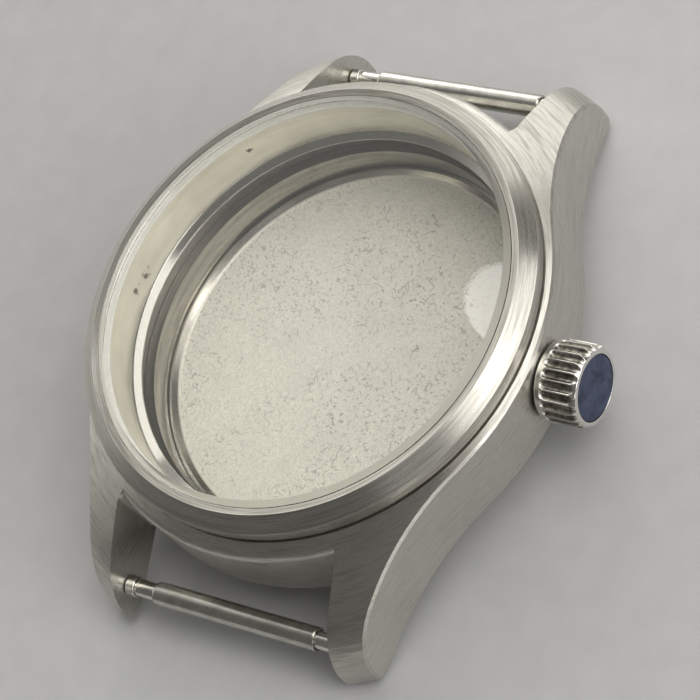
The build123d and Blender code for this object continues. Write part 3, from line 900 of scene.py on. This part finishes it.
# %% [markdown]
# Inside, the case back's floor is frosted: a fine even grain with short curved
# scratches that tools and movements left over the years. Thin cell walls,
# bent by noise and mostly masked away, look like such scratches. Scratches
# could be drawn one by one, but the cells fill the whole floor at once.

# %% Scratches
bend_share, bend_detail = 0.9, 3.0
keep_scale_share, keep_detail, keep_blend = 1.3, 1.0, 0.06


def fine_scratches(tree, place, scale, width, kept_above):
    """Short curved lines: walls between random cells, kept only where a broad grain is high."""
    noise = {"Vector": place, "Scale": scale * bend_share, "Detail": bend_detail}
    bend = put(tree, "ShaderNodeTexNoise", noise).outputs["Color"]
    bent = vector_maths(tree, "MULTIPLY_ADD", bend, (bend_share / scale,) * 3, place)[0]
    wall = put(tree, "ShaderNodeTexVoronoi", {"Vector": bent, "Scale": scale}, feature="DISTANCE_TO_EDGE")
    line = spread(tree, wall.outputs["Distance"], 0.0, width, *falling)
    broad = grain(tree, place, scale * keep_scale_share, keep_detail)
    return maths(tree, "MULTIPLY", line, spread(tree, broad, kept_above, kept_above + keep_blend))


# %% [markdown]
# Frosted steel scatters light so evenly that it is closer to paper than to a
# mirror, so the floor is hardly metallic, while the turned walls round it are.
# A mask on the radius picks the one or the other in colour, gloss and relief.

# %% Case back finish
floor_tone = (0.90, 0.875, 0.78)
grain_tone = (0.70, 0.68, 0.60)
scratch_tone = (0.13, 0.12, 0.10)
turned_tone = (0.46, 0.445, 0.395)
turned_deep = (0.32, 0.31, 0.27)
floor_edge, floor_blend = 15.2 * mm, 0.1 * mm
floor_range = (floor_edge - floor_blend, floor_edge + floor_blend)
back_roughness, floor_metal = 0.6, 0.1
frost_grain, frost_tones = (6500, 4.0, 0.4, 0.65), (0.35, 0.62)
frost_gloss, turned_gloss = (0.3, 0.7, 0.36, 0.50), 0.16
cloud_grain, cloud_range, cloud_share = (420, 4.0), (0.45, 0.7), 0.35
back_rings = (4600, 4)
short_scratches, long_scratches = (2300, 0.10, 0.53), (520, 0.02, 0.59)
crowd_grain, crowd_range = (150, 2.0), (0.38, 0.6, 0.25, 1.0)
scratch_share, ring_relief_share = 0.62, 0.08
back_relief = 0.012 * mm


def floor_scratches(tree, place):
    """Short scratches, crowded in some parts and rare in others, and a few long ones."""
    crowded = spread(tree, grain(tree, place, *crowd_grain), *crowd_range)
    short = maths(tree, "MULTIPLY", fine_scratches(tree, place, *short_scratches), crowded)
    return maths(tree, "MAXIMUM", short, fine_scratches(tree, place, *long_scratches))


def floor_colour(tree, place, frost, scratches):
    """Frosted grain with darker clouds and dark scratches."""
    cloud = spread(tree, grain(tree, place, *cloud_grain), *cloud_range)
    metal = tint(tree, spread(tree, frost, *frost_tones), grain_tone, floor_tone)
    metal = tint(tree, maths(tree, "MULTIPLY", cloud, cloud_share), metal, grain_tone)
    return tint(tree, maths(tree, "MULTIPLY", scratches, scratch_share), metal, scratch_tone)


def back_finish():
    """Frosted and scratched inside, turned on its walls and outside."""
    finish, tree, shader = start_finish("frosted back steel", floor_tone, back_roughness, floor_metal)
    place = own_place(tree)
    inside = spread(tree, radius_of(tree, place), *floor_range, *falling)
    frost = grain(tree, place, *frost_grain)
    rings = grain(tree, ring_place(tree, place, *back_rings))
    scratches = maths(tree, "MULTIPLY", floor_scratches(tree, place), inside)
    metal = tint(tree, spread(tree, rings, *even_range), turned_deep, turned_tone)
    metal = tint(tree, inside, metal, floor_colour(tree, place, frost, scratches))
    wire(tree, metal, shader, "Base Color")
    wire(tree, spread(tree, inside, 0.0, 1.0, 1.0, floor_metal), shader, "Metallic")
    frosted = maths(tree, "MULTIPLY", spread(tree, frost, *frost_gloss), inside)
    wire(tree, maths(tree, "ADD", frosted, turned_gloss), shader, "Roughness")
    uneven = maths(tree, "MULTIPLY", maths(tree, "SUBTRACT", frost, scratches), inside)
    turned = maths(tree, "MULTIPLY", rings, maths(tree, "SUBTRACT", 1.0, inside))
    turned = maths(tree, "MULTIPLY", turned, ring_relief_share)
    relief(tree, shader, maths(tree, "ADD", uneven, turned), back_relief)
    return finish


dress("case_back", back_finish())


# %% [markdown]
# The crown's lands are polished by fingers, and its grooves are painted dark as
# shade, so the distance from the crown's axis sets both colour and gloss. The
# depth of the groove says where the painted shade goes, and a grain varies it.

# %% Crown finish
land_tone = (0.80, 0.78, 0.74)
# painted shade for the grooves: a deeper and a paler tone
flute_painted_shade = (0.12, 0.11, 0.09)
flute_painted_shade_pale = (0.42, 0.39, 0.34)
land_range = (2.94 * mm, 3.05 * mm)
rim_range, collar_range = (22.3 * mm, 22.5 * mm), (19.86 * mm, 19.96 * mm)
groove_shade_grain, groove_shade_range = (2600, 3.0), (0.35, 0.7)
crown_roughness, crown_gloss = 0.16, (0.30, 0.14)
crown_grain, crown_relief = (5200, 3.0), 0.003 * mm


def crown_radius_of(tree, place):
    """Distance from the crown's own axis."""
    x, y, z = axes_of(tree, place)
    return length_of(tree, y, maths(tree, "SUBTRACT", z, crown_height))


def crown_finish():
    """Polished lands, rim and collar; grooves painted dark as shade, varied by a grain."""
    finish, tree, shader = start_finish("polished crown steel", land_tone, crown_roughness)
    place = own_place(tree)
    high = spread(tree, crown_radius_of(tree, place), *land_range)
    x = axes_of(tree, place)[0]
    rim = spread(tree, x, *rim_range)
    collar = spread(tree, x, *collar_range, *falling)
    bright = maths(tree, "MAXIMUM", maths(tree, "MAXIMUM", high, rim), collar)
    # painted shade in the grooves, between two dark tones set by a grain
    groove_shade = spread(tree, grain(tree, place, *groove_shade_grain), *groove_shade_range)
    metal = tint(tree, bright, tint(tree, groove_shade, flute_painted_shade, flute_painted_shade_pale), land_tone)
    wire(tree, metal, shader, "Base Color")
    wire(tree, spread(tree, bright, 0.0, 1.0, *crown_gloss), shader, "Roughness")
    relief(tree, shader, grain(tree, place, *crown_grain), crown_relief)
    return finish


wear(crown, crown_finish())


# %% [markdown]
# The inlay is heat-blued steel, mottled from one blue to the next. The blue
# only shows as a tint on what it reflects, so the colour is on a metal.

# %% Inlay finish
blue_deep = (0.055, 0.07, 0.13)
blue_pale = (0.13, 0.155, 0.26)
mottle_grain, mottle_tones = (900, 4.0, 0.6), (0.35, 0.68)
inlay_roughness, mottle_gloss = 0.3, (0.3, 0.7, 0.24, 0.42)
inlay_grain, inlay_relief = (3000, 3.0), 0.004 * mm


def inlay_finish():
    """A mottled blue on smooth steel."""
    finish, tree, shader = start_finish("blued inlay steel", blue_deep, inlay_roughness)
    place = own_place(tree)
    mottle = grain(tree, place, *mottle_grain)
    wire(tree, tint(tree, spread(tree, mottle, *mottle_tones), blue_deep, blue_pale), shader, "Base Color")
    wire(tree, spread(tree, mottle, *mottle_gloss), shader, "Roughness")
    relief(tree, shader, grain(tree, place, *inlay_grain), inlay_relief)
    return finish


wear(inlay, inlay_finish())


# %% [markdown]
# Bars and tips are drawn and turned: streaks run along the tube, fine rings
# round the tips. One tree makes both, since only the two scales of its grain
# differ. The turned steel also dresses the hidden tube, washer and springs.

# %% Bar finishes
bar_tone = (0.66, 0.65, 0.60)
bar_deep = (0.50, 0.49, 0.45)
tip_tone = (0.76, 0.75, 0.71)
drawn_scales, drawn_gloss = (3600, 260), (0.20, 0.30)
turned_scales, tip_gloss = (300, 5200), (0.12, 0.24)
line_detail, line_range = 3.0, (0.3, 0.7)
spot_grain, spot_tones = (900, 3.0), (0.35, 0.7)
bar_relief = 0.002 * mm


def bar_finish(name, tone, deep, across, along, low_gloss, high_gloss):
    """Drawn or turned steel: grain stretched along X, or across it, as the two scales say."""
    finish, tree, shader = start_finish(name, tone, high_gloss)
    place = own_place(tree)
    x, y, z = axes_of(tree, place)
    parts = [maths(tree, "MULTIPLY", part, scale) for part, scale in ((x, along), (y, across), (z, across))]
    lines = grain(tree, vector_of(tree, *parts), detail=line_detail)
    spots = spread(tree, grain(tree, place, *spot_grain), *spot_tones)
    wire(tree, tint(tree, spots, deep, tone), shader, "Base Color")
    wire(tree, spread(tree, lines, *line_range, high_gloss, low_gloss), shader, "Roughness")
    relief(tree, shader, lines, bar_relief)
    return finish


drawn = bar_finish("drawn bar steel", bar_tone, bar_deep, *drawn_scales, *drawn_gloss)
rounded = bar_finish("turned tip steel", tip_tone, bar_tone, *turned_scales, *tip_gloss)
for name, piece in bars.items():
    wear(piece, drawn if name.endswith("barrel") else rounded)
for node in ("crown_tube", "crown_washer", "bar_12_spring", "bar_6_spring"):
    dress(node, rounded)


# %% [markdown]
# Glass bends what lies under it. Cycles would leave the inside dark, because
# shadow rays don't go through glass, so for those rays alone it is clear. The
# ground bevel is the only part that slopes, and so a mask on the slope finds it.

# %% Glass finish
white = (1, 1, 1)
ground_tone = (0.62, 0.61, 0.58)
glass_bending = 1.5
dust_grain, dust_gloss = (700, 4.0), (0.5, 0.75, 0.0, 0.03)
flat_range, upright_range = (0.95, 0.985), (0.5, 0.8)
ground_gloss = 0.3


def clear_to_shadows(tree, shader):
    """Shows shadow and diffuse rays a clear surface, and all others the shader's."""
    clear = put(tree, "ShaderNodeBsdfTransparent").outputs[0]
    path = put(tree, "ShaderNodeLightPath").outputs
    unseen = maths(tree, "MAXIMUM", path["Is Shadow Ray"], path["Is Diffuse Ray"])
    mixed = put(tree, "ShaderNodeMixShader", (unseen, shader.outputs[0], clear))
    wire(tree, mixed.outputs[0], tree.nodes["Material Output"], "Surface")


def glass_finish():
    """Clear glass with a trace of dust in its gloss and a ground bevel."""
    finish, tree, shader = start_finish("crystal glass", white, 0.0, 0.0)
    shader.inputs["Transmission Weight"].default_value = 1.0
    shader.inputs["IOR"].default_value = glass_bending
    dust = spread(tree, grain(tree, own_place(tree), *dust_grain), *dust_gloss)
    up = maths(tree, "ABSOLUTE", faces_up(tree))
    sloping = spread(tree, up, *flat_range, *falling)
    ground = maths(tree, "MULTIPLY", sloping, spread(tree, up, *upright_range))
    wire(tree, maths(tree, "ADD", dust, maths(tree, "MULTIPLY", ground, ground_gloss)), shader, "Roughness")
    wire(tree, tint(tree, ground, white, ground_tone), shader, "Base Color")
    clear_to_shadows(tree, shader)
    return finish


wear(crystal, glass_finish())


# %% [markdown]
# The seals are rubber and nylon. Both are one tree of soft grain, and only
# their tones and their gloss differ.

# %% Seals
rubber_tone, rubber_pale, rubber_roughness = (0.018, 0.018, 0.018), (0.05, 0.05, 0.05), 0.55
nylon_tone, nylon_pale, nylon_roughness = (0.62, 0.61, 0.55), (0.78, 0.77, 0.72), 0.4
seal_spots, gloss_range, gloss_play = (1800, 4.0), (0.3, 0.7), 0.08
seal_grain, seal_relief = (7000, 2.0), 0.004 * mm


def seal_finish(name, tone, pale, roughness):
    """Rubber or nylon: soft grain in colour, gloss and surface."""
    finish, tree, shader = start_finish(name, tone, roughness, 0.0)
    place = own_place(tree)
    spots = grain(tree, place, *seal_spots)
    wire(tree, tint(tree, spots, tone, pale), shader, "Base Color")
    gloss = spread(tree, spots, *gloss_range, roughness - gloss_play, roughness + gloss_play)
    wire(tree, gloss, shader, "Roughness")
    relief(tree, shader, grain(tree, place, *seal_grain), seal_relief)
    return finish


rubber = seal_finish("black seal rubber", rubber_tone, rubber_pale, rubber_roughness)
nylon = seal_finish("milky nylon", nylon_tone, nylon_pale, nylon_roughness)
wear(gasket, nylon)
dress("case_back_gasket", rubber)
for node in seal_places_mm:
    wear(bpy.data.objects[node + "_ring"], rubber)


# %% [markdown]
# The floor is matt card, pale and nearly without pattern, with a faint grain so
# that its shadow does not look drawn.

# %% Floor finish
card_tone, card_roughness = (0.5, 0.5, 0.5), 0.8
card_deep, card_pale = (0.46, 0.465, 0.47), (0.54, 0.54, 0.54)
card_grain = (400, 4.0)


def card_finish():
    """Pale matt card."""
    finish, tree, shader = start_finish("pale card", card_tone, card_roughness, 0.0)
    card = grain(tree, own_place(tree), *card_grain)
    wire(tree, tint(tree, card, card_deep, card_pale), shader, "Base Color")
    return finish


wear(floor, card_finish())
